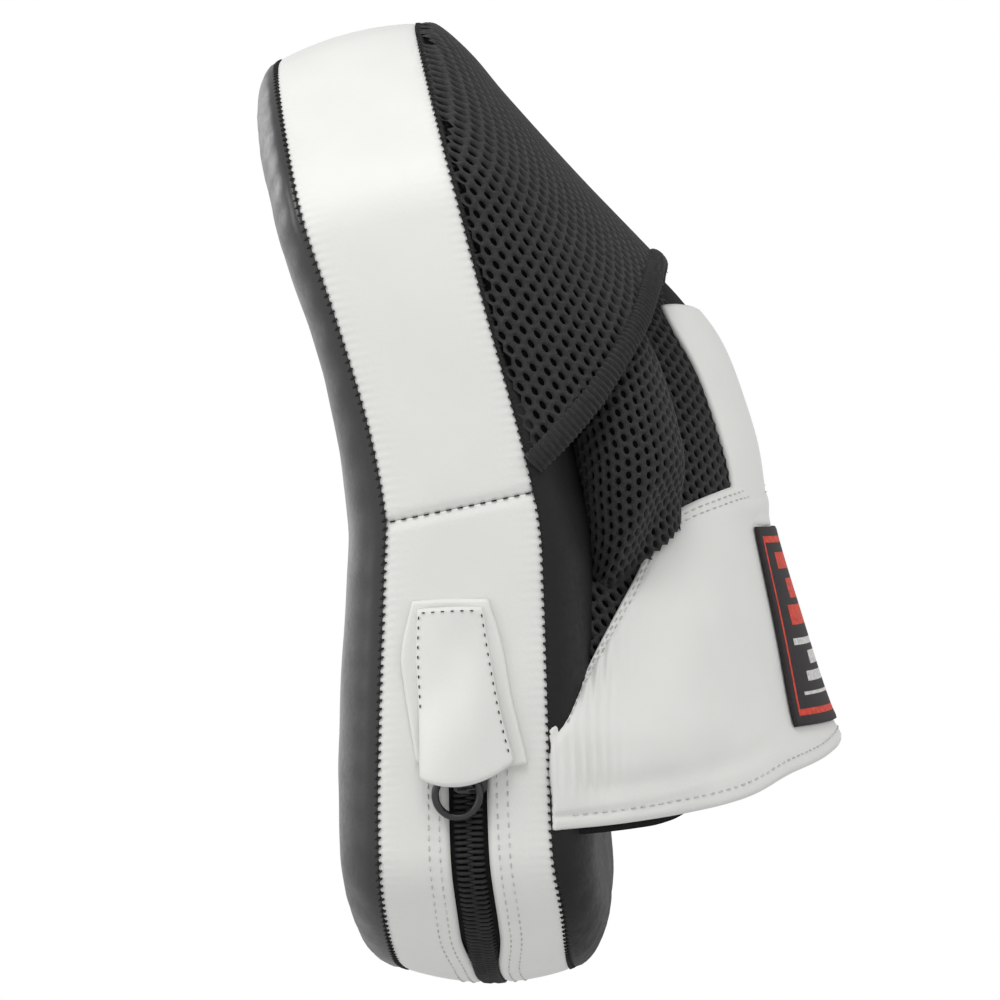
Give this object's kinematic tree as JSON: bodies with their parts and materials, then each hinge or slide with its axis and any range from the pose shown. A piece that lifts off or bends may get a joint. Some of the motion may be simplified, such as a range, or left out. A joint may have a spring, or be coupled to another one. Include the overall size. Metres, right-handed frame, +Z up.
{
  "type": "curved focus mitt",
  "caption": "Curved boxing focus mitt with a padded striking face, a zipped side band, a finger hood, a mesh hand pocket, a thumb sleeve and a strapped cuff.",
  "frame": {"origin": "palm centre, on the back cover under the palm grip of the worn mitt", "axes": "+Z up towards the fingertips, -Y out of the striking face, +Y out of the back of the hand, +X towards the thumb and the zipper"},
  "size_m": [0.1907, 0.1615, 0.2631],
  "materials": {
    "face_leather": "smooth semi-gloss synthetic leather",
    "back_leather": "grained synthetic leather",
    "binding": "overlocked thread",
    "gel": "soft gel sheet",
    "dense_foam": "closed-cell foam",
    "soft_foam": "open-cell foam",
    "white_leather": "satin synthetic leather",
    "zip_tape": "woven tape",
    "zip_coil": "moulded coil",
    "zip_metal": "dark plated metal",
    "mesh": "open air mesh",
    "lining": "knitted lining",
    "touch_tape": "hook-and-loop tape",
    "label": "woven label",
    "grip": "grained synthetic leather"
  },
  "bodies": {
    "mitt": {"front_cover": "face_leather", "back_cover": "back_leather", "hood_binding": "binding", "gel_layer": "gel", "strike_foam": "dense_foam", "core_foam": "soft_foam", "back_foam": "soft_foam", "cuff_foam": "soft_foam", "hand_back_foam": "soft_foam", "gusset_upper": "white_leather", "gusset_lower_far": "white_leather", "gusset_lower_front": "white_leather", "gusset_lower_rear": "white_leather", "garage_patch": "white_leather", "garage_tongue": "white_leather", "hand_back_panel": "white_leather", "cuff_panel": "white_leather", "loop_tape": "touch_tape", "zip_tape_front": "zip_tape", "zip_tape_rear": "zip_tape", "zip_coil_front": "zip_coil", "zip_coil_rear": "zip_coil", "zip_end_stop": "zip_metal", "finger_hood": "mesh", "mesh_thumb_side": "mesh", "mesh_far_side": "mesh", "fingertip_pocket": "mesh", "thumb_sleeve": "mesh", "cuff_lining": "lining", "label_patch": "label", "palm_grip": "grip"},
    "zip_slider": {"slider_body": "zip_metal", "slider_bail": "zip_metal"},
    "zip_pull": {"pull_ring": "zip_metal"},
    "strap_flap": {"strap_end": "white_leather", "hook_tape": "touch_tape"}
  },
  "joints": [
    {"name": "zip_slide", "type": "slide", "parent": "mitt", "child": "zip_slider", "axis": [0, 0, -1], "range_m": [0, 0.018]},
    {"name": "pull_hinge", "type": "hinge", "parent": "zip_slider", "child": "zip_pull", "pos_m": [0.09205, -0.0313, -0.0657], "axis": [0, -1, 0], "range_deg": [0, 40]},
    {"name": "strap_hinge", "type": "hinge", "parent": "mitt", "child": "strap_flap", "pos_m": [-0.042, 0.0519, -0.04], "axis": [0, 0.3946, -0.9188], "range_deg": [0, 80]}
  ]
}
